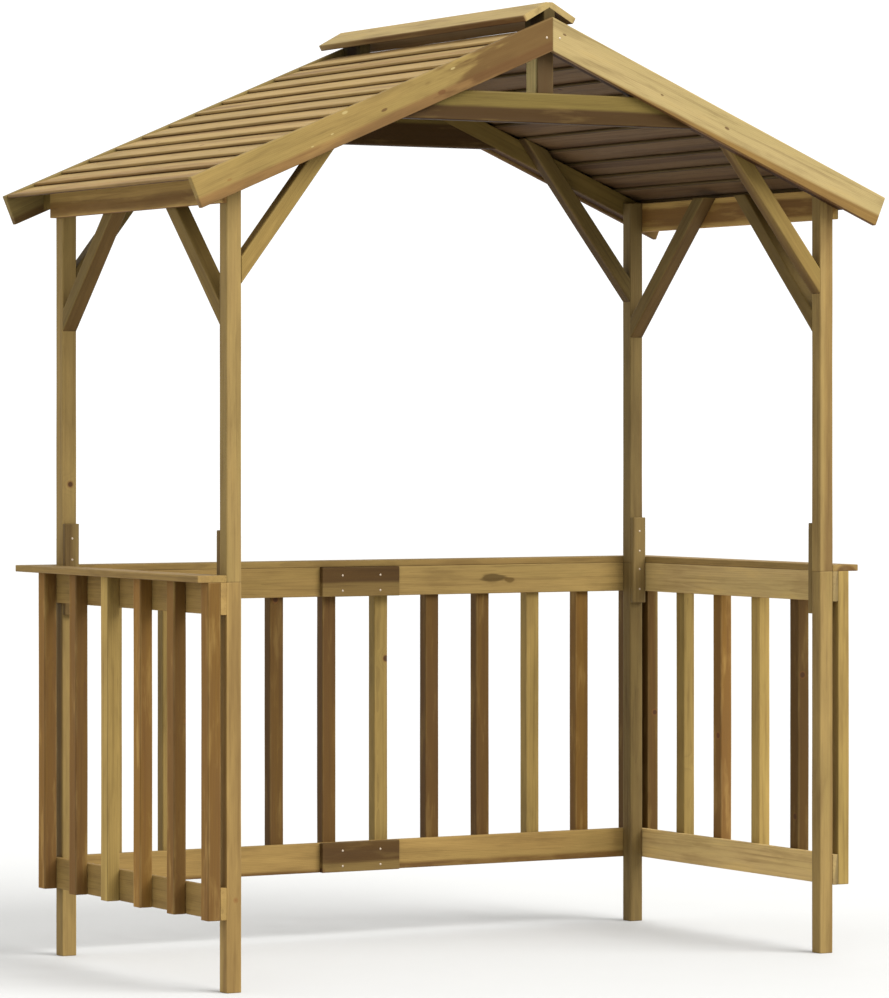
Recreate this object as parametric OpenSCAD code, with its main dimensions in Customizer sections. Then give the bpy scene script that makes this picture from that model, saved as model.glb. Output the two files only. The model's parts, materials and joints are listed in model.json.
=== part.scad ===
// Barbecue shelter: an open timber frame under a lapped-board gable roof.
// X runs along the shelf, the open front faces -Y, Z is up.
// The origin is on the ground, in the middle of the four posts.

/* [Frame] */
// Length over the posts
frame_l = 1684; // [1200:2:2400]
// Depth over the posts
frame_w = 920; // [700:2:1400]
// Height of the post tops
post_h = 1890; // [1600:2:2300]
// Height of the shelf's upper face
shelf_h = 960; // [700:2:1100]

/* [Timber] */
// Side of the square posts and braces
post_s = 38; // [32:1:60]
// Thickness of every board
board_t = 16; // [12:1:22]
// Width of every board
board_w = 75; // [60:1:110]
// Thickness of the upright slats
slat_t = 32; // [18:1:40]
// Width of the upright slats
slat_w = 38; // [30:1:60]
// Length of the plates that join two timbers end to end
plate_l = 224; // [160:2:300]
// Height of the cleats' middle over the joints of the posts
cleat_up = 7; // [0:1:40]

/* [Lower frame] */
// Clear height under the bottom rails
rail_z = 168; // [80:2:260]
// Slats at the back
back_slats = 12; // [6:1:16]
// Slats at each end
side_slats = 6; // [4:1:8]

/* [Braces] */
// Angle of the end braces from level
side_angle = 45; // [35:1:50]
// Room between the tops of an end's two braces
side_gap = 136; // [60:2:300]
// Angle of the front and back braces from level
cross_angle = 52.5; // [45:0.5:56]
// How far under the post tops the front and back braces meet the posts
cross_drop = 260; // [200:2:320]

/* [Roof] */
// Slope of the roof
pitch = 22.9; // [18:0.1:28]
// Height of the roof's upper face over an eave beam's outer top edge
roof_lift = 22.24; // [21.5:0.01:43]
// Reach of the eaves past the posts
eave_out = 120; // [80:2:200]
// Width of the battens under the boards' ends, which sets how far the gables stand out
batten_w = 38; // [30:1:60]
// Depth of the battens, square to the slope
batten_d = 50; // [38:1:60]
// Thickness of the lapped roof boards
lap_t = 8.5; // [7:0.5:12]
// Lapped boards on each slope
lap_boards = 12; // [8:1:18]
// Overlap of one roof board on the next
lap_over = 20; // [8:1:25]
// Setback of the lowest roof board behind the ends of the gable boards
eave_in = 5; // [0:1:20]
// Room left at the peak, down the slope
peak_gap = 54; // [40:1:64]
// Height of the collar ties' lower edge over the post tops
tie_lift = 133; // [90:1:180]
// Depth of the collar ties
tie_d = 71; // [50:1:95]
// Width of the king posts
king_w = 44; // [34:1:70]
// Depth of the king posts, front to back
king_d = 54; // [40:1:70]
// Setback of the king posts' faces behind the gable boards
king_back = 18; // [0:1:30]

/* [Ridge cap] */
// Width of a cap board
cap_w = 75; // [60:1:110]
// Slope of the cap boards
cap_pitch = 29; // [24:1:35]
// Height of the cap's underside over the roof's peak
cap_lift = 23; // [12:1:30]
// Reach of the cap past the gable boards at the back
cap_out = 8; // [0:1:30]
// Length of the blocks under the cap
block_l = 90; // [60:2:160]
// Width of the blocks under the cap
block_w = 30; // [20:1:34]

/* [Hidden] */

LEFT = -1;
RIGHT = 1;
FRONT = -1;
BACK = 1;

// Faces of the frame, measured from the middle
post_x = frame_l / 2;
post_y = frame_w / 2;
inner_x = post_x - post_s;
inner_y = post_y - post_s;
side_x = post_x + board_t;
back_y = post_y + board_t;

// Heights
rail_top_z = shelf_h - board_t;
beam_z = post_h - board_w;
tie_z = post_h + tie_lift;

// The back rails start at the left posts and run past the right ones
back_x0 = -post_x;
back_x1 = side_x;
splice_x = (back_x0 + back_x1) / 2;

// The roof's upper faces fall from the peak at this slope
fall = tan(pitch);
peak_z = post_h + roof_lift + fall * side_x;
eave_x = post_x + eave_out;
slope_l = eave_x / cos(pitch) - eave_in;
lap_step = (slope_l - peak_gap - lap_over) / lap_boards;
lap_angle = asin(lap_t / lap_step);
seat_d = lap_t * 2 + lap_over * tan(lap_angle);
batten_y = post_y + batten_w;
gable_y = batten_y + board_t;
king_top = peak_z - fall * king_w / 2 - seat_d / cos(pitch);

// Height of a line that lies d below the roof's upper face, square to the slope
function roof_z(x, d = 0) = peak_z - fall * abs(x) - d / cos(pitch);
// Distance from the middle where such a line crosses the height z
function roof_x(z, d = 0) = (peak_z - d / cos(pitch) - z) / fall;
// Evenly spread centres from a to b
function spread(a, b, n) = [for (i = [0 : n - 1]) a + (b - a) * i / (n - 1)];

// Places children on the left or right half, and on the front or back half
module at_side(side) mirror([side < 0 ? 1 : 0, 0, 0]) children();
module at_end(end) mirror([0, end < 0 ? 1 : 0, 0]) children();

// A block from one corner to the opposite one
module block(a, b) translate(a) cube(b - a);

// Carries an outline drawn in X and Z from y0 to y1
module along_y(y0, y1) translate([0, y1, 0]) rotate([90, 0, 0]) linear_extrude(y1 - y0) children();

// Carries an outline drawn in Y and Z from x0 to x1
module along_x(x0, x1) translate([x0, 0, 0]) rotate([90, 0, 90]) linear_extrude(x1 - x0) children();

// ---- Posts ----

module post(side, end, z0, z1)
    at_side(side) at_end(end) block([inner_x, inner_y, z0], [post_x, post_y, z1]);
module post_lower(side, end) color("#8b7444") post(side, end, 0, rail_top_z);
module post_upper(side, end) color("#9a8350") post(side, end, rail_top_z, post_h);

// Flat cleats that join the halves of each post, on the faces that look at each other
module post_cleats() color("#8f7848")
    for (side = [LEFT, RIGHT], end = [FRONT, BACK])
        at_side(side) at_end(end)
            translate([inner_x, inner_y - board_t, rail_top_z + cleat_up - plate_l / 2])
                cube([post_s, board_t, plate_l]);

// ---- Lower frame ----

module side_rail(side, z) color("#9c8148")
    at_side(side) block([post_x, -post_y, z], [side_x, post_y, z + board_w]);
module back_rail(x0, x1, z) color("#a0824a") block([x0, post_y, z], [x1, back_y, z + board_w]);

// Plates behind the joints of the back rails
module splice_plates() color("#7c5a2c")
    for (z = [rail_z, rail_top_z - board_w])
        translate([splice_x - plate_l / 2, post_y - board_t, z]) cube([plate_l, board_t, board_w]);

module side_slats(side) color("#a98c52")
    for (y = spread(slat_w / 2 - post_y, post_y - slat_w / 2, side_slats))
        at_side(side) translate([side_x, y - slat_w / 2, rail_z])
            cube([slat_t, slat_w, rail_top_z - rail_z]);
module slats_back() color("#a98c52")
    for (x = spread(back_x0 + slat_w / 2, back_x1 - slat_w / 2, back_slats))
        translate([x - slat_w / 2, back_y, rail_z]) cube([slat_w, slat_t, rail_top_z - rail_z]);

// ---- Shelf ----

module side_shelf(side) color("#a88e56")
    at_side(side) block([post_x, -post_y, rail_top_z], [post_x + board_w, post_y + board_w, shelf_h]);
module shelf_back() color("#a88e56")
    block([-post_x, post_y, rail_top_z], [post_x, post_y + board_w, shelf_h]);

// ---- Beams and braces ----

module eave_beam(side) color("#a98a4c")
    at_side(side) block([post_x, -post_y, beam_z], [side_x, post_y, post_h]);

// From a post up to the eave beam, cut level with the post tops
side_foot_z = post_h - (inner_y - side_gap / 2) * tan(side_angle);
module side_braces(side) color("#9d8850")
    for (end = [FRONT, BACK]) at_side(side) at_end(end)
        along_x(inner_x, post_x) polygon([
            [inner_y, side_foot_z],
            [inner_y, side_foot_z + post_s / cos(side_angle)],
            [side_gap / 2 + post_s / sin(side_angle), post_h],
            [side_gap / 2, post_h],
        ]);

// From a post up to the roof boards, cut to the slope
cross_foot_z = post_h - cross_drop;
module cross_braces(end) color("#a89256")
    for (side = [LEFT, RIGHT]) at_side(side) at_end(end)
        along_y(inner_y, post_y) polygon([
            [inner_x, cross_foot_z],
            [inner_x, cross_foot_z + post_s / cos(cross_angle)],
            brace_top(cross_foot_z + post_s / cos(cross_angle)),
            brace_top(cross_foot_z),
        ]);
// Where a cross brace edge that leaves the post at height z reaches the roof boards
function brace_run(z) = (roof_z(inner_x, seat_d) - z) / (tan(cross_angle) - fall);
function brace_top(z) = [inner_x - brace_run(z), z + brace_run(z) * tan(cross_angle)];

// ---- Gable frames ----

// Level collar whose ends are cut to the battens
module tie(end) color("#8a6b3a")
    at_end(end) along_y(post_y, batten_y) polygon([
        [-tie_x(tie_z), tie_z], [tie_x(tie_z), tie_z],
        [tie_x(tie_z + tie_d), tie_z + tie_d], [-tie_x(tie_z + tie_d), tie_z + tie_d],
    ]);
function tie_x(z) = roof_x(z, seat_d + batten_d);

// Stands on the collar between the battens' upper ends
module king_post(end) color("#a4824a")
    at_end(end) block([-king_w / 2, batten_y - king_back - king_d, tie_z + tie_d],
        [king_w / 2, batten_y - king_back, king_top]);

// Battens under the ends of the roof boards, on the outer faces of posts, beams and braces
module battens(end) color("#8d7038")
    for (side = [LEFT, RIGHT]) at_side(side) at_end(end)
        along_y(post_y, batten_y) polygon([
            [king_w / 2, roof_z(king_w / 2, seat_d)], [side_x, roof_z(side_x, seat_d)],
            [side_x, roof_z(side_x, seat_d + batten_d)],
            [king_w / 2, roof_z(king_w / 2, seat_d + batten_d)],
        ]);

// Boards that cover the battens and the ends of the roof boards
module gable_board(side, end) color("#c9b272")
    at_side(side) at_end(end) along_y(batten_y, gable_y) polygon([
        [0, roof_z(0)], [eave_x, roof_z(eave_x)],
        [eave_x - board_w * sin(pitch), roof_z(eave_x) - board_w * cos(pitch)],
        [0, roof_z(0, board_w)],
    ]);

// ---- Roof ----

// Lapped boards from eave to ridge: each one's thick lower end lies on the next one's head.
// s is measured down the slope from the peak, and d square to it, below the upper face.
function on_slope(s, d) = [s * cos(pitch) - d * sin(pitch), peak_z - s * sin(pitch) - d * cos(pitch)];
function board_foot(i) = slope_l - lap_step * i;
function board_head(i) = board_foot(i) - lap_step - lap_over;
function board_drop(i, s) = (board_foot(i) - s) * tan(lap_angle);

module roof_board(i) polygon([
    on_slope(board_foot(i), 0),
    on_slope(board_head(i), board_drop(i, board_head(i))),
    on_slope(board_head(i), board_drop(i, board_head(i)) + lap_t),
    on_slope(board_foot(i), lap_t),
]);
module roof_boards(side) color("#c2a36c")
    at_side(side) along_y(-batten_y, batten_y)
        for (i = [0 : lap_boards - 1]) roof_board(i);

// ---- Ridge cap ----

// Two boards that meet over the ridge, where the top of the joint is level. Their front ends lie just
// behind the front gable boards.
cap_z = peak_z + cap_lift;
module ridge_cap(side) color("#c8b270")
    at_side(side) along_y(-batten_y, gable_y + cap_out)
        translate([0, cap_z]) rotate(-cap_pitch) polygon([
            [0, 0], [cap_w, 0], [cap_w, board_t], [0, board_t],
            board_t * cos(cap_pitch) * [-sin(cap_pitch), cos(cap_pitch)],
        ]);

// Blocks on the king posts that carry the cap, with their tops cut to its slopes
module ridge_blocks() color("#6e5530")
    for (end = [FRONT, BACK]) at_end(end)
        along_y(batten_y - block_l, batten_y) polygon([
            [-block_w / 2, king_top], [block_w / 2, king_top],
            [block_w / 2, cap_z - block_w / 2 * tan(cap_pitch)], [0, cap_z],
            [-block_w / 2, cap_z - block_w / 2 * tan(cap_pitch)],
        ]);

post_lower(LEFT, FRONT);  // post_lower_front_left
post_lower(RIGHT, FRONT);  // post_lower_front_right
post_lower(LEFT, BACK);  // post_lower_back_left
post_lower(RIGHT, BACK);  // post_lower_back_right
post_upper(LEFT, FRONT);  // post_upper_front_left
post_upper(RIGHT, FRONT);  // post_upper_front_right
post_upper(LEFT, BACK);  // post_upper_back_left
post_upper(RIGHT, BACK);  // post_upper_back_right
post_cleats();
eave_beam(LEFT);  // eave_beam_left
eave_beam(RIGHT);  // eave_beam_right
side_rail(LEFT, rail_z);  // rail_bottom_left
side_rail(LEFT, rail_top_z - board_w);  // rail_top_left
side_rail(RIGHT, rail_z);  // rail_bottom_right
side_rail(RIGHT, rail_top_z - board_w);  // rail_top_right
back_rail(back_x0, splice_x, rail_z);  // rail_bottom_back_left
back_rail(splice_x, back_x1, rail_z);  // rail_bottom_back_right
back_rail(back_x0, splice_x, rail_top_z - board_w);  // rail_top_back_left
back_rail(splice_x, back_x1, rail_top_z - board_w);  // rail_top_back_right
splice_plates();
side_slats(LEFT);  // slats_left
side_slats(RIGHT);  // slats_right
slats_back();
side_shelf(LEFT);  // shelf_left
side_shelf(RIGHT);  // shelf_right
shelf_back();
side_braces(LEFT);  // side_braces_left
side_braces(RIGHT);  // side_braces_right
cross_braces(FRONT);  // cross_braces_front
cross_braces(BACK);  // cross_braces_back
tie(FRONT);  // tie_front
tie(BACK);  // tie_back
king_post(FRONT);  // king_post_front
king_post(BACK);  // king_post_back
battens(FRONT);  // battens_front
battens(BACK);  // battens_back
gable_board(LEFT, FRONT);  // gable_board_front_left
gable_board(RIGHT, FRONT);  // gable_board_front_right
gable_board(LEFT, BACK);  // gable_board_back_left
gable_board(RIGHT, BACK);  // gable_board_back_right
roof_boards(LEFT);  // roof_boards_left
roof_boards(RIGHT);  // roof_boards_right
ridge_cap(LEFT);  // ridge_cap_left
ridge_cap(RIGHT);  // ridge_cap_right
ridge_blocks();
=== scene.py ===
# %% [markdown]
# # A timber barbecue shelter
# The shelter is a kit of planed, pressure-treated softwood: square posts, slatted panels under a shelf,
# diagonal braces and a gable roof of thin lapped boards. The CAD frame already holds every timber at its
# real size and place, so this script never measures anything again. It reads each solid's corners and
# gives the same timber the things that CAD leaves out: soft arrises, grain, knots, heartwood and nails.

# %% Load the frame
import json
import math

import bpy
import numpy as np
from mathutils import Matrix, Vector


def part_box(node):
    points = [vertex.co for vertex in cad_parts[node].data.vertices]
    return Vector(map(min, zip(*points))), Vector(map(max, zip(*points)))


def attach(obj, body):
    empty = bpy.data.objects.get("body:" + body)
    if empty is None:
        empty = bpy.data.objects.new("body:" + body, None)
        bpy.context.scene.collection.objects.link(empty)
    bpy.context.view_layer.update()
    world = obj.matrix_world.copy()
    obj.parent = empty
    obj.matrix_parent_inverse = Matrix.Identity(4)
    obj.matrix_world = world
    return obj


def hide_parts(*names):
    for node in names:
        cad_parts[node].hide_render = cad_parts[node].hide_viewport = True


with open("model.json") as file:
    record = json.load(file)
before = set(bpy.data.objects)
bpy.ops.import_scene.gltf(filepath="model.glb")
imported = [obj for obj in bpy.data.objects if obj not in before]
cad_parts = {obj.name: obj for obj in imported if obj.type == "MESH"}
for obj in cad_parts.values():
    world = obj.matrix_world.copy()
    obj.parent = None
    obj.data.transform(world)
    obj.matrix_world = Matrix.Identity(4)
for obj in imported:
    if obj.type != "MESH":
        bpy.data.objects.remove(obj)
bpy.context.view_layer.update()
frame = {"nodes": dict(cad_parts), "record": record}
slots = {part["node"]: part["material_slot"] for part in frame["record"]["subparts"]}

# %% [markdown]
# ## Reading the timbers
# A CAD node is a bag of loose triangles, and some nodes hold several solids, such as the twelve slats of
# the back panel. Corners that share a place are merged first, and then every triangle passes the lowest
# label among its corners on until nothing changes, which leaves one label per solid. Almost every timber
# is a stick with four long edges and two cut ends, whatever the angle of the cuts. So eight corners,
# sorted by end, width and thickness, say all there is to know about it.

# %% Split a node into its solids
def solids(node):
    """The corners (n, 3) and triangles of each solid in a CAD node, lowest and leftmost first."""
    mesh = frame["nodes"][node].data
    points = np.zeros(len(mesh.vertices) * 3)
    mesh.vertices.foreach_get("co", points)
    triangles = np.zeros(len(mesh.loop_triangles) * 3, int)
    mesh.loop_triangles.foreach_get("vertices", triangles)
    corners, merged = np.unique(points.reshape(-1, 3).round(6), axis=0, return_inverse=True)
    triangles = merged.ravel()[triangles].reshape(-1, 3)
    label = np.arange(len(corners))
    before = None
    while before is None or (label != before).any():
        before = label.copy()
        lowest = label[triangles].min(axis=1)
        for column in range(3):
            np.minimum.at(label, triangles[:, column], lowest)
    found = []
    for name in np.unique(label):
        mine = triangles[label[triangles[:, 0]] == name]
        used, local = np.unique(mine, return_inverse=True)
        found.append((corners[used], local.reshape(-1, 3)))
    return found


print("back slats:", len(solids("slats_back")))

# %% Sort the corners of a stick
def stick(corners, triangles):
    """A (2, 2, 2, 3) grid of a stick's corners, by end, by width and by thickness.

    The largest face's normal is the thickness. The length is square to it and to another long face, and
    the width is square to both. The four largest faces are the long ones, because the ends are small.
    Corners between the two broad faces are left out: only the ridge cap has them, and it fills its joint
    itself."""
    sides = corners[triangles]
    area = np.cross(sides[:, 1] - sides[:, 0], sides[:, 2] - sides[:, 0])
    size = np.linalg.norm(area, axis=1)
    normal = area / size[:, None]
    same = np.abs(normal @ normal.T) > 0.9999
    weight = (same * size).sum(axis=1)
    thick = normal[weight.argmax()]
    weight[np.abs(normal @ thick) > 0.9999] = 0
    long_way = np.cross(thick, normal[weight.argmax()])
    long_way /= np.linalg.norm(long_way)
    long_way *= np.sign(long_way @ [1.0, 0.31, 0.52])
    thick = thick * np.sign(thick @ [0.31, 0.52, 1.0])
    wide = np.cross(thick, long_way)
    level = corners @ thick
    corners = corners[(level < level.min() + 1e-4) | (level > level.max() - 1e-4)]
    order = np.argsort(corners @ thick, kind="stable").reshape(2, -1)
    grid = np.zeros((2, 2, 2, 3))
    for k, layer in enumerate(order):
        layer = layer[np.argsort(corners[layer] @ wide, kind="stable")]
        for j, pair in enumerate((layer[: len(layer) // 2], layer[-(len(layer) // 2):])):
            pair = pair[np.argsort(corners[pair] @ long_way, kind="stable")]
            grid[:, j, k] = corners[pair[[0, -1]]]
    return grid


example = stick(*solids("gable_board_front_left")[0])
print("a gable board's ends:", example[:, 0, 0].round(3).tolist())

# %% [markdown]
# ## A planed timber as a surface of two parameters
# A planing machine rounds the four long edges, and a saw leaves the ends square. That is a profile carried
# along a path: one parameter runs around a rounded rectangle and the other along the stick. A bevelled box
# would be quicker, but it would give every edge the same radius, and it would not know which way the grain
# runs. Here the radius wanders along the edge as it does on real stock, and each point also remembers its
# place inside the timber, so the shader can cut through solid wood.

# %% The rounded profile
ARC_STEPS = 4
FLAT_STEPS = (0.0, 0.2, 0.4, 0.6, 0.8)
SHOULDER = 0.0022  # how far from an arris the flat gets its first point


def profile(width, depth, radius):
    """Points around a rounded rectangle, one ring for each radius: arrays (rings, points) of p and q.

    A point on a corner's arc is the corner's centre plus the radius times (cos a, sin a). A point on a
    flat is a blend of the ends of the two arcs beside it. Both depend on the radius in a straight line,
    so each coordinate is one fixed array times half the size, plus another times the radius. The third
    array is 1 on the arcs and 0 on the flats."""
    angle = np.linspace(0, math.pi / 2, ARC_STEPS)
    signs = np.array([(1, -1), (1, 1), (-1, 1), (-1, -1)], float)
    fixed, moving, edge = [], [], []
    for corner in range(4):
        turned = angle + (corner - 1) * math.pi / 2
        arc = np.stack([np.cos(turned), np.sin(turned)], axis=1)
        after = (corner + 1) % 4
        start = arc[-1] - signs[corner]
        first = turned[-1]
        end = np.array([math.cos(first), math.sin(first)]) - signs[after]
        flat = depth if corner % 2 == 0 else width
        room = max(flat - 2 * radius.max(), 1e-4)
        near = min(SHOULDER / room, 0.2)
        step = np.clip(np.array(FLAT_STEPS) * (1 - 2 * near) + near, 0, 1)
        step = np.append(step, 1 - near)[:, None]
        fixed.append(np.repeat(signs[corner][None], ARC_STEPS, 0))
        fixed.append(signs[corner] * (1 - step) + signs[after] * step)
        moving.append(arc - signs[corner])
        moving.append(start * (1 - step) + end * step)
        edge.append(np.ones(ARC_STEPS))
        edge.append(np.zeros(len(step)))
    fixed, moving = np.concatenate(fixed), np.concatenate(moving)
    p = fixed[:, 0] * width / 2 + moving[:, 0] * radius[:, None]
    q = fixed[:, 1] * depth / 2 + moving[:, 1] * radius[:, None]
    return p, q, np.concatenate(edge)


print("points around a post:", profile(0.038, 0.038, np.array([0.002]))[0].shape[1])

# %% The timber
RING_GAP = 0.045
END_ARRIS = 0.0008
WANDER = 0.22  # how much the radius of an arris changes along it
PITH_NEAR, PITH_FAR = 0.012, 0.05  # how far a timber was sawn from the pith, where nothing else is asked
TREE_HEIGHT = 40
TILT = 0.004  # the pith's lean, for each metre of timber
SHADE_SPREAD = 0.04
WARMTH_SPREAD = 0.08
END_WEAR = 0.7


def timber(grid, rng, arris, pith=None, drift=(0.0, 0.0), bow=0.0, shade=1.0, warmth=0.0, ends=1.0):
    """One timber as a dictionary of whole arrays: points, quads, end caps, and what the shader reads.

    A point at (along, across, through), each from 0 to 1, is the blend of the eight corners. The width
    and depth leave out what lies along the length, so a slanted cut doesn't count as width. 'grain' is
    the place measured from the tree's pith, in metres along and square to the length, and 'place' is the
    same measured from the timber's own start and middle. Every timber starts at a random height in its
    tree, so that no two have the same pattern. 'tone' holds the shade, which is painted light and shadow
    as well as the timber's own tone, then the warmth and a chance number. ends scales the shade on the end
    faces."""
    middle = grid.mean(axis=(1, 2))
    length = np.linalg.norm(middle[1] - middle[0])
    way = (middle[1] - middle[0]) / length
    wide = (grid[:, 1] - grid[:, 0]).mean(axis=(0, 1))
    thick = (grid[:, :, 1] - grid[:, :, 0]).mean(axis=(0, 1))
    width = np.linalg.norm(wide - way * (wide @ way))
    depth = np.linalg.norm(thick - way * (thick @ way))
    count = max(int(length / RING_GAP), 3)
    inner = np.linspace(END_ARRIS + SHOULDER, length - END_ARRIS - SHOULDER, count)
    reach = np.concatenate([[0, END_ARRIS], inner, [length - END_ARRIS, length]])
    along = reach / length
    wave = np.sin(reach / 0.11 + rng.uniform(0, 6.3)) * 0.6
    wave = wave + np.sin(reach / 0.047 + rng.uniform(0, 6.3)) * 0.4
    radius = np.minimum(arris * (1 + WANDER * wave), min(width, depth) * 0.45)
    p, q, edge = profile(width, depth, radius)
    shrink = np.ones(len(reach))
    shrink[[0, -1]] = 1 - 2 * END_ARRIS / width
    p = p * shrink[:, None]
    shrink[[0, -1]] = 1 - 2 * END_ARRIS / depth
    q = q * shrink[:, None]
    a, b, t = p / width + 0.5, q / depth + 0.5, along[:, None]
    weights = [((1 - t), t), ((1 - a), a), ((1 - b), b)]
    points = np.zeros(p.shape + (3,))
    for i in (0, 1):
        for j in (0, 1):
            for k in (0, 1):
                share = weights[0][i] * weights[1][j] * weights[2][k]
                points += share[..., None] * grid[i, j, k]
    points += (bow * 4 * t * (1 - t))[..., None] * (thick / np.linalg.norm(thick))
    start = points[0].mean(axis=0)
    local = (points - start) @ way
    if pith is None:
        turn = rng.uniform(0, 2 * math.pi)
        far = rng.uniform(PITH_NEAR, PITH_FAR)
        pith = (far * math.cos(turn), far * math.sin(turn))
    height = rng.uniform(0, TREE_HEIGHT)
    tilt = rng.normal(0, TILT, 2) + drift
    heart_y = p - pith[0] - tilt[0] * local
    heart_z = q - pith[1] - tilt[1] * local
    rings, around = p.shape
    index = np.arange(rings * around).reshape(rings, around)
    beside = np.roll(index, -1, axis=1)
    quads = np.stack([index[:-1], beside[:-1], beside[1:], index[1:]], axis=-1).reshape(-1, 4)
    caps = [index[0][::-1], index[-1]]
    flat = points.reshape(-1, 3)
    # Six times the signed volume of the tube tells whether its quads face out.
    one, two, three, four = (flat[quads[:, c]] - start for c in range(4))
    volume = (np.cross(one, two) * three).sum() + (np.cross(one, three) * four).sum()
    if volume < 0:
        quads, caps = quads[:, ::-1], [cap[::-1] for cap in caps]
    ones = np.ones(rings * around)
    end = np.zeros((rings, around))
    end[[0, 1, -2, -1]] = 1
    light = ones * shade * (1 + rng.normal(0, SHADE_SPREAD)) * (1 + (ends - 1) * end.ravel())
    tone = (warmth + rng.normal(0, WARMTH_SPREAD), rng.uniform())
    return {
        "points": flat,
        "quads": quads,
        "caps": caps,
        "grain": np.stack([(local + height).ravel(), heart_y.ravel(), heart_z.ravel()], axis=1),
        "place": np.stack([local.ravel(), p.ravel(), q.ravel()], axis=1),
        "tone": np.stack([light, ones * tone[0], ones * tone[1]], axis=1),
        "wear": np.maximum(np.broadcast_to(edge, (rings, around)), end * END_WEAR).ravel(),
    }


trial = timber(example, np.random.default_rng(1), 0.0015)
print("a gable board:", len(trial["points"]), "points")

# %% Put timbers into one mesh
def joined(name, parts, material, node=None):
    """One object from a list of timbers. Caps and quads go in by their loops, in whole arrays."""
    shift = np.cumsum([0] + [len(part["points"]) for part in parts])
    loops, sizes, flats = [], [], []
    for part, offset in zip(parts, shift):
        loops.append((part["quads"] + offset).ravel())
        sizes.append(np.full(len(part["quads"]), 4))
        flats.append(np.ones(len(part["quads"]), bool))
        for cap in part["caps"]:
            loops.append(cap + offset)
            sizes.append(np.array([len(cap)]))
            flats.append(np.zeros(1, bool))
    loops, sizes, smooth = np.concatenate(loops), np.concatenate(sizes), np.concatenate(flats)
    mesh = bpy.data.meshes.new(name)
    mesh.vertices.add(shift[-1])
    mesh.vertices.foreach_set("co", np.concatenate([part["points"] for part in parts]).ravel())
    mesh.loops.add(len(loops))
    mesh.loops.foreach_set("vertex_index", loops.astype(np.int32))
    mesh.polygons.add(len(sizes))
    mesh.polygons.foreach_set("loop_start", np.concatenate([[0], np.cumsum(sizes)[:-1]]).astype(np.int32))
    mesh.polygons.foreach_set("use_smooth", smooth)
    for key in ("grain", "place", "tone"):
        layer = mesh.attributes.new(key, "FLOAT_VECTOR", "POINT")
        layer.data.foreach_set("vector", np.concatenate([part[key] for part in parts]).ravel())
    layer = mesh.attributes.new("wear", "FLOAT", "POINT")
    layer.data.foreach_set("value", np.concatenate([part["wear"] for part in parts]))
    mesh.update(calc_edges=True)
    mesh.validate()
    mesh.materials.append(material)
    piece = bpy.data.objects.new(name, mesh)
    bpy.context.scene.collection.objects.link(piece)
    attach(piece, "root")
    if node:
        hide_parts(node)
    return piece


# %% [markdown]
# ## Shader maths as arithmetic
# A wood shader is mostly sums: distances from the pith, noise added to them, steps and blends. Wired by
# hand they become a page of Math nodes that nobody can read. A small class that stands for one socket and
# overloads the operators lets the same graph be written as formulas.

# %% A socket that can be added and multiplied
class Socket:
    """An output socket. Arithmetic on it adds Math nodes to its graph."""

    def __init__(self, graph, out):
        self.graph = graph
        self.out = out

    def maths(self, operation, *values):
        """A Math node on these values, each a socket or a number."""
        inputs = {place: value for place, value in enumerate(values)}
        return self.graph.node("Math", {"operation": operation}, inputs)

    def __add__(self, other):
        return self.maths("ADD", self, other)

    def __radd__(self, other):
        return self.maths("ADD", other, self)

    def __sub__(self, other):
        return self.maths("SUBTRACT", self, other)

    def __rsub__(self, other):
        return self.maths("SUBTRACT", other, self)

    def __mul__(self, other):
        return self.maths("MULTIPLY", self, other)

    def __truediv__(self, other):
        return self.maths("DIVIDE", self, other)

    def __pow__(self, other):
        return self.maths("POWER", self, other)

    def fraction(self):
        return self.maths("FRACT", self)

    def step(self, low, high):
        """0 below low, 1 above high, and a smooth rise between; it falls instead where low is larger."""
        rising = low < high
        ends = {"From Min": min(low, high), "From Max": max(low, high)}
        ends.update({"To Min": 0.0 if rising else 1.0, "To Max": 1.0 if rising else 0.0})
        ends["Value"] = self
        return self.graph.node("MapRange", {"interpolation_type": "SMOOTHSTEP"}, ends)


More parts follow.
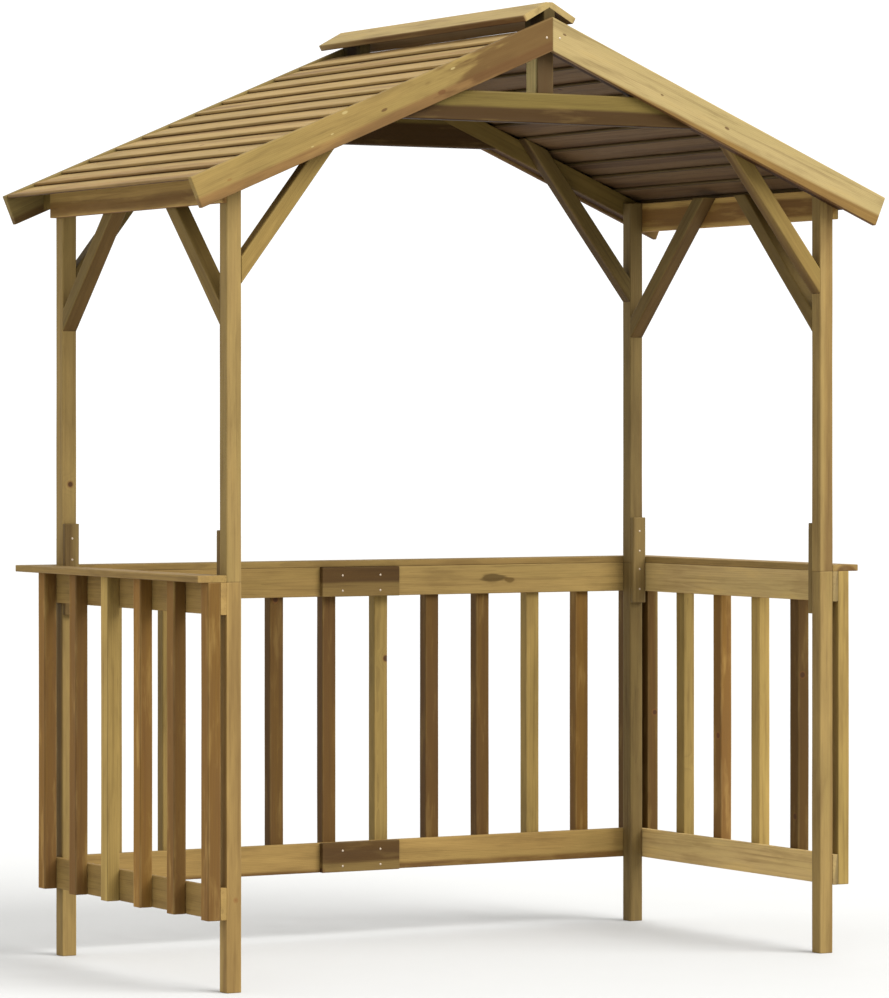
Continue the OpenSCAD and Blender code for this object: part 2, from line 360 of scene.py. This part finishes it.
class Graph:
    """A material's node tree. Every node but the maths comes from node()."""

    def __init__(self, name):
        self.material = bpy.data.materials.new(name)
        self.material.use_nodes = True
        self.tree = self.material.node_tree
        self.tree.nodes.clear()

    def node(self, kind, settings=None, inputs=None, out=0):
        """Any node. Inputs that are sockets are linked and the others are set. Returns one output."""
        made = self.tree.nodes.new("ShaderNode" + kind)
        for key, value in (settings or {}).items():
            setattr(made, key, value)
        for key, value in (inputs or {}).items():
            if isinstance(value, Socket):
                self.tree.links.new(value.out, made.inputs[key])
            else:
                made.inputs[key].default_value = value
        return Socket(self, made.outputs[out]) if len(made.outputs) else None

    def attribute(self, name, out="Vector"):
        return self.node("Attribute", {"attribute_name": name}, out=out)

    def axes(self, vector):
        made = self.node("SeparateXYZ", inputs={0: vector}).out.node
        return [Socket(self, made.outputs[place]) for place in range(3)]

    def vector(self, x, y, z):
        return self.node("CombineXYZ", inputs={0: x, 1: y, 2: z})

    def stretched(self, vector, factors):
        return self.node("VectorMath", {"operation": "MULTIPLY"}, {0: vector, 1: factors})

    def noise(self, vector, factors, detail=3.0, rough=0.55):
        """Noise around 0.5, on a vector that is first scaled along each axis."""
        inputs = {"Vector": self.stretched(vector, factors), "Scale": 1.0}
        inputs.update({"Detail": detail, "Roughness": rough})
        return self.node("TexNoise", None, inputs)

    def mix(self, share, first, second, blend="MIX"):
        """A colour between two, where share runs from 0 for the first to 1 for the second."""
        settings = {"data_type": "RGBA", "blend_type": blend, "clamp_factor": True}
        return self.node("Mix", settings, {0: share, 6: first, 7: second}, out=2)

    def finish(self, colour, rough, height, bump=0.5, depth=0.001, **fixed):
        """The surface itself: colour, roughness and relief vary, everything else is one number."""
        relief = self.node("Bump", None, {"Strength": bump, "Distance": depth, "Height": height})
        inputs = {"Base Color": colour, "Roughness": rough, "Normal": relief}
        inputs.update(fixed)
        surface = self.node("BsdfPrincipled", None, inputs)
        self.node("OutputMaterial", None, {"Surface": surface})
        return self.material


def paint(code, alpha=1.0):
    """A hex colour as the linear values that a shader works in."""
    parts = np.array([int(code[at:at + 2], 16) for at in (1, 3, 5)]) / 255
    linear = np.where(parts < 0.04045, parts / 12.92, ((parts + 0.055) / 1.055) ** 2.4)
    return (*linear.tolist(), alpha)


print("sapwood:", [round(value, 3) for value in paint("#a89763")])

# %% [markdown]
# ## Solid softwood
# Pine is built of yearly rings around a pith: pale wood in spring, a thin dark line in late summer. The
# old core is redder than the sapwood around it, and branches cross it as knots that the rings flow around.
# Painting stripes on each face would break at every edge. Because each point knows its place from the
# pith, the rings can be worked out in the solid instead, and end grain, quarter-sawn stripes and flat-sawn
# arches all follow from the same distance. The treatment adds a green tint to the sapwood, and handling
# leaves the arrises a little paler.

# %% The wood finish
RING = 0.0042
KNOT_CELLS = 8.5  # cells in a metre, of which some hold a knot
SWELLING = 0.010
GREEN_CAST = "#66602f"
DARK_HEART = "#4b341d"
LATE_WOOD = "#3f2712"
SHADOW_GRAIN = "#4a3418"
BRIGHT_GRAIN = "#a88c50"
HANDLED = "#b39a63"
KNOT_RIM = "#6b4420"
KNOT_EYE = "#3c2412"
MARK_SHAPE = 0.4  # a mark's width as a share of its length
SHINE = 0.14


def softwood(name, sap, heart, core=0.034, green=0.12, knots=0.5, rings=0.5, underside_shade=0.25, marks=()):
    """Treated softwood. sap and heart are colours, and core is the heartwood's radius in metres. green,
    knots and rings say how much there is of each. The number after them is painted shade: how much darker
    the faces that look down are made. marks are (along, across, radius, colour) in the timber's own place."""
    g = Graph(name)
    grain = g.attribute("grain")
    shade, warmth, _ = g.axes(g.attribute("tone"))
    _, y, z = g.axes(grain)

    # Knots are sparse points in the solid, and the rings swell around each.
    inputs = {"Vector": grain, "Scale": KNOT_CELLS, "Randomness": 1.0}
    cells = g.node("TexVoronoi", {"feature": "F1"}, inputs)
    distance = Socket(g, cells.out.node.outputs["Distance"])
    pick = g.axes(Socket(g, cells.out.node.outputs["Color"]))[0]
    chosen = pick.step(1 - knots, 1 - knots + 0.02)
    swell = distance.step(0.30, 0.02) * chosen
    wander = g.noise(grain, (1.6, 9.0, 9.0), 2.0) - 0.5
    sway = g.noise(grain, (1.1, 6.0, 6.0), 1.0) - 0.5
    ripple = g.noise(grain, (14.0, 60.0, 60.0), 2.0) - 0.5
    bent = g.vector(0.0, y + wander * 0.016, z + sway * 0.016)
    radius = g.node("VectorMath", {"operation": "LENGTH"}, {0: bent}, out=1)
    radius = radius + ripple * 0.0016
    late = ((radius + swell * SWELLING) / RING).fraction() ** 3.0
    old = (radius - warmth * 0.05).step(core + 0.004, core - 0.006)

    # Colour: sapwood with a green cast in patches, heartwood inside, late wood darker.
    cast = g.noise(grain, (2.2, 16.0, 16.0), 2.0).step(0.42, 0.68) * green
    pale = g.mix(cast, paint(sap), paint(GREEN_CAST))
    patch = g.noise(grain, (1.3, 22.0, 22.0), 3.0)
    warm = g.mix(patch.step(0.35, 0.70) * 0.45, paint(heart), paint(DARK_HEART))
    colour = g.mix(old, pale, warm)
    mottle = g.noise(grain, (5.0, 34.0, 34.0), 4.0, 0.6)
    streak = g.noise(grain, (3.0, 120.0, 120.0), 3.0)
    fibre = g.noise(grain, (14.0, 700.0, 700.0), 2.0)
    darker = late * rings * 0.65 + streak.step(0.50, 0.74) * 0.42
    colour = g.mix(darker, colour, g.mix(0.62, colour, paint(LATE_WOOD)))
    colour = g.mix(fibre.step(0.50, 0.80) * 0.22, colour, paint(SHADOW_GRAIN))
    dull = g.mix(0.5, colour, paint(SHADOW_GRAIN))
    colour = g.mix(mottle.step(0.48, 0.70) * 0.55, colour, dull)
    bright = g.mix(0.35, colour, paint(BRIGHT_GRAIN))
    colour = g.mix(mottle.step(0.48, 0.32) * 0.40, colour, bright)
    eye = distance.step(0.075, 0.055) * chosen
    rim = distance.step(0.10, 0.07) * chosen
    colour = g.mix(rim * 0.55, colour, paint(KNOT_RIM))
    colour = g.mix(eye * 0.85, colour, paint(KNOT_EYE))

    # Marks that this timber alone has.
    relief = eye * -0.3
    place = g.attribute("place")
    for start, side, size, ink in marks:
        apart = g.node("VectorMath", {"operation": "SUBTRACT"}, {0: place, 1: (start, side, 0.0)})
        apart = g.stretched(apart, (MARK_SHAPE, 1.0, 0.0))
        apart = g.node("VectorMath", {"operation": "LENGTH"}, {0: apart}, out=1) + ripple * size * 1.4
        inside = apart.step(size, size * 0.55)
        colour = g.mix(inside * 0.75, colour, paint(ink))
        relief = relief - inside * 0.2

    # Handled edges are paler and smoother. Faces that look down get painted shade, darker and warmer, and
    # each timber's shade, which is painted light and shadow as well as its own tone, multiplies the colour.
    down = g.axes(g.node("NewGeometry", out=1))[2].step(-0.35, -0.85)
    worn = g.attribute("wear", "Fac") * g.noise(grain, (9.0, 40.0, 40.0), 2.0).step(0.30, 0.75) * (1 - down)
    colour = g.mix(worn * 0.30, colour, g.mix(0.3, colour, paint(HANDLED)))
    light = shade * (1 - down * underside_shade)
    green_light = light * (1 - down * 0.16)
    blue_light = light * (1 - down * 0.08)
    tint = g.node("CombineColor", None, {0: light, 1: green_light, 2: blue_light})
    colour = g.mix(1.0, colour, tint, "MULTIPLY")
    rough = 0.60 + streak * 0.16 + fibre * 0.10 - late * 0.05 - worn * 0.08
    height = fibre * 0.10 - late * 0.16 + streak * 0.10 + relief
    return g.finish(colour, rough, height, 0.55, 0.0012, **{"Specular IOR Level": SHINE})


# %% One finish for each kind of timber, under the name of its slot
finishes = {
    "post_wood": softwood("post_wood", "#856e40", "#7c6438", core=0.020, knots=0.3, rings=0.3),
    "board_wood": softwood("board_wood", "#866c3c", "#5d431e", knots=0.6),
    "slat_wood": softwood("slat_wood", "#866f3c", "#573e17", core=0.024),
    "brace_wood": softwood("brace_wood", "#7c6534", "#6f5a2e", core=0.018, knots=0.3, rings=0.3),
    "frame_wood": softwood("frame_wood", "#7a6430", "#523610"),
    # The roof boards get extra painted shade on the faces that look down.
    "roof_wood": softwood("roof_wood", "#977d4d", "#8b6f40", core=0.024, knots=0.45, rings=0.2, underside_shade=0.62),
}
print("finishes:", ", ".join(sorted(finishes)))

# %% [markdown]
# ## What the timbers differ in
# What differs between them is how crisp their edges are, how much they bow and how dark each one is. So
# each kind gets one line here, and a timber that stands out gets a line of its own. The shades are set
# for this scene's light and its first view, so they are painted light and painted shadow as well as the
# wood's own tone. Under another light they are the first thing to change.

# %% How each kind of timber is finished
POST_ARRIS = 0.0032
BOARD_ARRIS = 0.0020
KINDS = {
    "post": dict(arris=POST_ARRIS),
    "eave_beam": dict(arris=BOARD_ARRIS),
    "rail": dict(arris=BOARD_ARRIS),
    "splice": dict(arris=BOARD_ARRIS),
    "slats": dict(arris=0.0024, bow=0.0006),
    "shelf": dict(arris=BOARD_ARRIS),
    "side_braces": dict(arris=POST_ARRIS),
    "cross_braces": dict(arris=POST_ARRIS),
    "tie": dict(arris=0.0030),
    "king_post": dict(arris=0.0024),
    "battens": dict(arris=BOARD_ARRIS, shade=0.75),
    "roof_boards": dict(arris=0.0032, bow=0.0004),
    "ridge": dict(arris=BOARD_ARRIS),
}

# What one timber has and its like do not: its shade, painted light and shadow with its own tone, and how
# much of it is heartwood (from -1 to 1).
SAP, HALF, HEART = -0.8, 0.1, 1.0
LOOKS = {
    "post_lower_back_right": dict(shade=0.68),
    "post_upper_back_right": dict(shade=0.68),
    "post_lower_front_right": dict(shade=1.08),
    "post_upper_front_right": dict(shade=1.08),
    "post_lower_front_left": dict(shade=1.12),
    "post_lower_back_left": dict(shade=1.05),
    "post_upper_back_left": dict(shade=1.05),
    "post_cleats": dict(shade=0.72),
    "eave_beam_left": dict(warmth=HALF, shade=1.55),
    "eave_beam_right": dict(warmth=-0.3, shade=1.95),
    "rail_top_back_left": dict(warmth=SAP, shade=0.98),
    "rail_top_back_right": dict(warmth=SAP, shade=1.12),
    "rail_bottom_back_left": dict(pith=(0.058, 0.0), warmth=0.0, shade=1.05),
    "rail_bottom_back_right": dict(pith=(0.052, 0.0), warmth=0.0, shade=1.1),
    "rail_top_right": dict(warmth=SAP, shade=2.0, ends=0.5),
    "rail_bottom_right": dict(warmth=SAP, shade=2.3, ends=0.5),
    "rail_top_left": dict(warmth=SAP, shade=1.1),
    "rail_bottom_left": dict(warmth=SAP, shade=1.1),
    "splice_plates": dict(pith=(-0.025, -0.006), warmth=0.0, shade=0.66),
    "shelf_left": dict(warmth=SAP),
    "shelf_back": dict(warmth=SAP),
    "shelf_right": dict(warmth=HALF),
    "slats_left": dict(
        warmth=(HEART, HEART, HEART, SAP, HEART, HEART), shade=(2.1, 2.25, 2.7, 1.75, 2.0, 2.2)),
    "slats_right": dict(
        warmth=(SAP, HEART, SAP, HEART, SAP, HEART), shade=(1.06, 0.86, 1.45, 2.0, 1.02, 0.96)),
    "slats_back": dict(
        warmth=(SAP, SAP, HALF, HEART, HEART, HEART, SAP, HEART, HEART, SAP, HEART, HEART),
        shade=(0.9, 0.95, 0.9, 1.0, 0.97, 1.2, 1.0, 1.02, 1.05, 1.12, 1.65, 1.0)),
    "side_braces_right": dict(shade=0.66),
    "side_braces_left": dict(shade=0.75),
    "cross_braces_back": dict(shade=0.6),
    "tie_front": dict(pith=(0.032, -0.018), warmth=0.0, shade=0.70),
    "tie_back": dict(pith=(0.020, -0.018), warmth=0.2, shade=0.75),
    "king_post_front": dict(pith=(0.044, 0.010), warmth=0.0),
    "king_post_back": dict(pith=(0.048, 0.0), warmth=0.0, shade=0.5),
    "ridge_cap_left": dict(pith=(0.066, 0.0), warmth=0.0, shade=1.08),
    "ridge_cap_right": dict(pith=(-0.066, 0.0), warmth=0.0),
    "ridge_blocks": dict(pith=(0.0, 0.0), warmth=0.0, shade=0.3),
}
# Painted light and painted shade on one face of a timber: the face's axis, its side, and how much.
PAINTED_FACE_LIGHT = {
    "rail_top_right": (0, 1, 0.6),
    "rail_bottom_right": (0, 1, 0.5),
    "eave_beam_right": (0, 1, 0.65),
    "slats_left": (1, -1, 0.6),
    "post_lower_front_left": (0, -1, 1.3),
}
print("kinds:", len(KINDS), "and timbers with looks of their own:", len(LOOKS))

# %% [markdown]
# ## Making a node
# All timbers are made by one function. Random numbers come from one seed for each node, so a change to
# one timber leaves the others alone. Two kinds then need a touch by hand: the head of a lapped roof board
# gets painted shade where the next board covers it, and the ridge cap's boards meet on a flat joint.

# %% Every solid of a node as one piece
LAP = 0.046  # how far from its middle a roof board's covered head begins
LAP_SHADE = 0.35
FACE_DEPTH = 0.003
JOINT_DEPTH = 0.001


def seed(node):
    """Random numbers that depend on the node's name alone."""
    return np.random.default_rng(sum(ord(letter) * (place + 7) for place, letter in enumerate(node)))


def looks(node, place=0):
    """A timber's settings: its kind's, then its node's, where a list holds one value for each solid."""
    kind = next(KINDS[key] for key in KINDS if node.startswith(key))
    own = {**kind, **LOOKS.get(node, {})}
    for key in ("warmth", "shade"):
        if isinstance(own.get(key), tuple):
            own[key] = own[key][place]
    return own


def shade_laps(parts, upward):
    """Painted shade on the head of each lapped board but the highest, where the next board covers it,
    so that the laps read as dark lines.
    """
    top = max(part["points"][:, 2].max() for part in parts)
    for part in parts:
        if part["points"][:, 2].max() < top:
            part["tone"][part["place"][:, 1] * upward > LAP, 0] *= LAP_SHADE


def close_joint(part):
    """Bring the inner edge of a cap board to the middle plane, where it meets the other board."""
    aside = np.abs(part["place"][:, 1])
    across = np.abs(part["points"][:, 0])
    inner = (aside > aside.max() - JOINT_DEPTH) & (across < across.mean())
    part["points"][inner, 0] = 0


def make(node):
    """Every solid of a node as timbers in one piece, with its own finish or its slot's."""
    rng = seed(node)
    parts = [timber(stick(*solid), rng, **looks(node, place)) for place, solid in enumerate(solids(node))]
    # Painted light and painted shade on one listed face of some timbers.
    axis, side, face_light = PAINTED_FACE_LIGHT.get(node, (0, 1, 1.0))
    for part in parts:
        reach = part["points"][:, axis] * side
        part["tone"][reach > reach.max() - FACE_DEPTH, 0] *= face_light
    if node.startswith("roof_boards"):
        shade_laps(parts, 1 if node.endswith("right") else -1)
    if node.startswith("ridge_cap"):
        close_joint(parts[0])
    return joined(node + "_timber", parts, finishes[OWN_FINISH.get(node, slots[node])], node)


# %% [markdown]
# ## Plain timbers
# Most nodes take the finish of their slot. A few look different from the rest of their kind:
# a rail with one large knot, two rails with none, the king posts and ties with pale and brown sides, and
# the ridge cap. They have finishes of their own. The king posts' pale side stands under the roof, and its
# very pale sapwood is painted light as well as the wood's colour.

# %% Plain timbers
OWN_FINISH = {
    "rail_top_back_right": "knotty_wood",
    "rail_top_right": "clear_wood",
    "rail_bottom_right": "clear_wood",
    "king_post_front": "king_wood",
    "king_post_back": "king_wood",
    "tie_front": "tie_wood",
    "tie_back": "tie_wood",
    "ridge_cap_left": "cap_wood",
    "ridge_cap_right": "cap_wood",
}
knot_marks = ((0.40, -0.004, 0.016, "#3a2a0e"), (0.45, 0.004, 0.008, "#4a3614"))
finishes.update({
    "knotty_wood": softwood("knotty_wood", "#826b3d", "#584225", knots=0.3, marks=knot_marks),
    "clear_wood": softwood("clear_wood", "#847048", "#5d431e", knots=0.0),
    # The king posts' sapwood holds painted light as well as its pale colour.
    "king_wood": softwood("king_wood", "#e6d292", "#4a3a20", knots=0.0),
    "tie_wood": softwood("tie_wood", "#78652f", "#46300d", knots=0.3),
    # The ridge cap gets extra painted shade under its boards.
    "cap_wood": softwood("cap_wood", "#998454", "#6a4c28", knots=0.15, underside_shade=0.62),
})
LATER = ("gable", "ridge_blocks")
made = [make(node) for node in sorted(frame["nodes"]) if not node.startswith(LATER)]
print("made", len(made), "pieces,", sum(len(piece.data.vertices) for piece in made), "points")

# %% [markdown]
# ## Ridge blocks
# A block on each king post carries the ridge cap, and its top is cut to a point, so it has ten corners
# and not eight. It is made as a square stick up to its shoulders, and its last rings are then lifted by
# how far each point lies from the shoulder, times the slope of the cap.

# %% Ridge blocks
wing = stick(*solids("ridge_cap_right")[0])
run = (wing[:, 1] - wing[:, 0]).mean(axis=(0, 1))
slope = abs(run[2] / run[0])
print("cap slope:", round(math.degrees(math.atan(slope)), 2))
TOP_RINGS = 0.004  # the end's two rings lie within this


def pointed(corners, rng, **settings):
    """A square stick on end whose top rings are lifted to a ridge over the middle of its width."""
    low, high = corners.min(axis=0), corners.max(axis=0)
    half = (high[0] - low[0]) / 2
    high[2] -= slope * half
    ends = np.stack(np.meshgrid([0, 1], [0, 1], [0, 1], indexing="ij"), axis=-1)
    part = timber(np.where(ends[..., [1, 2, 0]] == 0, low, high), rng, **settings)
    top = part["points"][:, 2] > high[2] - TOP_RINGS
    part["points"][top, 2] += slope * (half - np.abs(part["points"][top, 0]))
    return part


rng = seed("ridge_blocks")
blocks = [pointed(corners, rng, **looks("ridge_blocks")) for corners, _ in solids("ridge_blocks")]
made.append(joined("ridge_blocks_timber", blocks, finishes["frame_wood"], "ridge_blocks"))
print("ridge blocks:", len(blocks))

# %% [markdown]
# ## Gable boards
# Each of the four gable boards shows both kinds of wood: a band of pale sapwood runs along one edge and
# brown heartwood along the other, and the line between them drifts along the board. So each gets its own
# pith, at a chosen side and drift. The two front boards also get marks of their own.

# %% One gable board
GABLE_CORE = 0.036


def gable(node, sap, heart, pith, drift, marks=()):
    """One gable board, where pith and drift say where its heartwood runs."""
    finish = softwood(node + "_wood", sap, heart, core=GABLE_CORE, knots=0.0, rings=0.35, marks=marks)
    part = timber(stick(*solids(node)[0]), seed(node), BOARD_ARRIS, pith=pith, drift=drift)
    return joined(node + "_timber", [part], finish, node)


print("heartwood radius of a gable board:", GABLE_CORE)

# %% The four gable boards
DARK, CHIP = "#4a2f18", "#a39160"
left_marks = (
    (1.08, 0.0, 0.16, "#4e3316"), (0.53, 0.002, 0.005, DARK), (0.69, 0.018, 0.006, "#5a3a1c"),
    (0.43, -0.030, 0.004, CHIP), (0.38, 0.004, 0.002, CHIP), (0.32, 0.012, 0.002, CHIP),
    (0.74, -0.022, 0.003, CHIP), (0.09, 0.004, 0.004, "#7a5a2e"),
)
right_marks = ((0.335, 0.004, 0.003, DARK), (0.535, 0.0, 0.003, DARK), (0.03, -0.012, 0.0025, DARK))
FRONT_FACE, BACK_FACE = -0.008, 0.008
GABLES = {
    "gable_board_front_left": dict(
        sap="#87703e", heart="#7a5c33", pith=(0.045, FRONT_FACE), drift=(-0.003, 0.0), marks=left_marks),
    "gable_board_front_right": dict(
        sap="#998659", heart="#7c6030", pith=(0.073, FRONT_FACE), drift=(-0.024, 0.0), marks=right_marks),
    "gable_board_back_left": dict(
        sap="#75643a", heart="#5c4826", pith=(0.050, BACK_FACE), drift=(-0.02, 0.0)),
    "gable_board_back_right": dict(
        sap="#8f7b45", heart="#6e552c", pith=(0.050, BACK_FACE), drift=(-0.02, 0.0)),
}
gables = [gable(node, **settings) for node, settings in GABLES.items()]
print("gable boards:", len(gables))

# %% [markdown]
# ## Nails
# The boards are nailed. A driven nail leaves a shallow bright dome about as wide as a pencil, a
# little proud of the wood. It is a surface of revolution: one parameter runs out from the middle of the
# dome and the other around it.

# %% Nail heads
def steel():
    """Dull zinc-coated steel, speckled."""
    g = Graph("nail_steel")
    place = g.node("TexCoord", out="Object")
    speck = g.noise(place, (900.0, 900.0, 900.0), 2.0)
    colour = g.mix(speck, paint("#c9b9a4"), paint("#8a7862"))
    return g.finish(colour, 0.35 + speck * 0.2, speck, 0.2, 0.0004, Metallic=0.55)


nail_finish = steel()
HEAD = 0.0030
PROUD = 0.0012
SUNK = 0.0002  # the rim lies this far under the face
AROUND = 12
DOME_RINGS = 5


def nail_heads(name, centres, out):
    """Domes on a face, one at each centre. With u from 1 at the rim to nearly 0 at the top, the radius is
    HEAD times u and the height is PROUD times the root of 1 - u * u, turned around 'out'."""
    out = np.array(out, float)
    side = np.cross(out, (0.0, 0.0, 1.0))
    up = np.cross(side, out)
    u = np.sin(np.linspace(0.08, 1.0, DOME_RINGS) * math.pi / 2)[::-1]
    turn = np.linspace(0, 2 * math.pi, AROUND, endpoint=False)
    circle = np.cos(turn)[:, None] * side + np.sin(turn)[:, None] * up
    dome = circle[None] * (HEAD * u)[:, None, None] + out * (PROUD * np.sqrt(1 - u * u))[:, None, None]
    index = np.arange(DOME_RINGS * AROUND).reshape(-1, AROUND)
    beside = np.roll(index, -1, axis=1)
    quads = np.stack([index[:-1], beside[:-1], beside[1:], index[1:]], axis=-1).reshape(-1, 4)
    flat = dome.reshape(-1, 3)
    first = flat[quads[0]]
    if np.cross(first[1] - first[0], first[3] - first[0]) @ (first[0] + out * PROUD) < 0:
        quads = quads[:, ::-1]
        index = index[:, ::-1]
    points, faces = [], []
    for place, centre in enumerate(np.array(centres, float)):
        points += (flat + centre - out * SUNK).tolist()
        faces += (quads + place * len(flat)).tolist()
        faces += [(index[-1] + place * len(flat)).tolist(), (index[0][::-1] + place * len(flat)).tolist()]
    mesh = bpy.data.meshes.new(name)
    mesh.from_pydata(points, [], faces)
    mesh.polygons.foreach_set("use_smooth", np.ones(len(mesh.polygons), bool))
    mesh.materials.append(nail_finish)
    piece = bpy.data.objects.new(name, mesh)
    bpy.context.scene.collection.objects.link(piece)
    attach(piece, "root")
    return piece


print("nail finish:", nail_finish.name)

# %% Nails on the splice plates, the cleats and the gables
low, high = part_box("splice_plates")
board_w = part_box("rail_top_left")[1].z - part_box("rail_top_left")[0].z
rows = [low.z + board_w * share for share in (0.2, 0.72)]
rows += [high.z - board_w * share for share in (0.8, 0.28)]
columns = [low.x + (high.x - low.x) * share for share in (0.26, 0.75)]
splice_nails = [(x, low.y, z) for x in columns for z in rows]
nails = [nail_heads("splice_nails", splice_nails, (0, -1, 0))]
low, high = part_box("post_cleats")
post_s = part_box("post_upper_back_right")[1].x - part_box("post_upper_back_right")[0].x
FROM_END = (0.036, 0.088)
heights = [high.z - reach for reach in FROM_END] + [low.z + reach for reach in FROM_END]
cleat = np.ptp(solids("post_cleats")[0][0][:, 1])
cleat_x = (low.x + post_s / 2, high.x - post_s / 2)
front = [(x, low.y + cleat, z) for x in cleat_x for z in heights]
back = [(x, high.y - cleat, z) for x in cleat_x for z in heights]
nails.append(nail_heads("cleat_nails_front", front, (0, 1, 0)))
nails.append(nail_heads("cleat_nails_back", back, (0, -1, 0)))
APEX_X = (-0.017, 0.019)
APEX_DROP = 0.050
low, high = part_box("gable_board_front_left")
apex = [(x, low.y, high.z - APEX_DROP) for x in APEX_X]
nails.append(nail_heads("gable_nails_front", apex, (0, -1, 0)))
low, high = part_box("gable_board_back_left")
apex = [(x, high.y, high.z - APEX_DROP) for x in APEX_X]
nails.append(nail_heads("gable_nails_back", apex, (0, 1, 0)))
print("nails:", len(nails), "groups")

# %% [markdown]
# ## Floor, light and camera
# The stage is plain: a pale floor, an even white surround and one large soft light from the front right.
# The camera stands to the left of the open front at chest height, with a long lens.

# %% The floor
def floor_paint():
    """Pale grey paint with a faint, slow change of tone."""
    g = Graph("floor_paint")
    place = g.node("TexCoord", out="Object")
    speck = g.noise(place, (3.0, 3.0, 3.0), 4.0)
    colour = g.mix(speck * 0.3, paint("#bebebc"), paint("#b6b6b4"))
    return g.finish(colour, 0.8 + speck * 0.1, speck, 0.1, 0.001)


FLOOR = 40.0
corners = np.array([(-1, -1, 0), (1, -1, 0), (1, 1, 0), (-1, 1, 0)]) * FLOOR
mesh = bpy.data.meshes.new("floor")
mesh.from_pydata(corners.tolist(), [], [(0, 1, 2, 3)])
mesh.materials.append(floor_paint())
floor = bpy.data.objects.new("floor", mesh)
bpy.context.scene.collection.objects.link(floor)
print("floor:", 2 * FLOOR, "m square")

# %% Light and camera
world = bpy.data.worlds.new("surround")
world.use_nodes = True
world.node_tree.nodes["Background"].inputs["Color"].default_value = (1.0, 1.0, 1.0, 1.0)
world.node_tree.nodes["Background"].inputs["Strength"].default_value = 1.15
bpy.context.scene.world = world
bpy.context.scene.view_settings.view_transform = "Standard"

key = bpy.data.lights.new("key", "SUN")
key.energy = 4.2
key.angle = math.radians(50)
key_object = bpy.data.objects.new("key", key)
key_object.rotation_euler = (math.radians(48), 0, math.radians(28))
bpy.context.scene.collection.objects.link(key_object)

lens = bpy.data.cameras.new("camera")
lens.sensor_fit = "VERTICAL"
lens.sensor_height = 36.0
lens.lens = 170.2
lens.shift_x = -0.0115
lens.shift_y = -0.0653
lens.clip_end = 200
camera = bpy.data.objects.new("camera", lens)
camera.location = (-5.7998, -10.1027, 1.3003)
camera.rotation_euler = (math.radians(89.92), 0, math.radians(-29.99))
bpy.context.scene.collection.objects.link(camera)
bpy.context.scene.camera = camera
print("camera at", tuple(round(value, 3) for value in camera.location))
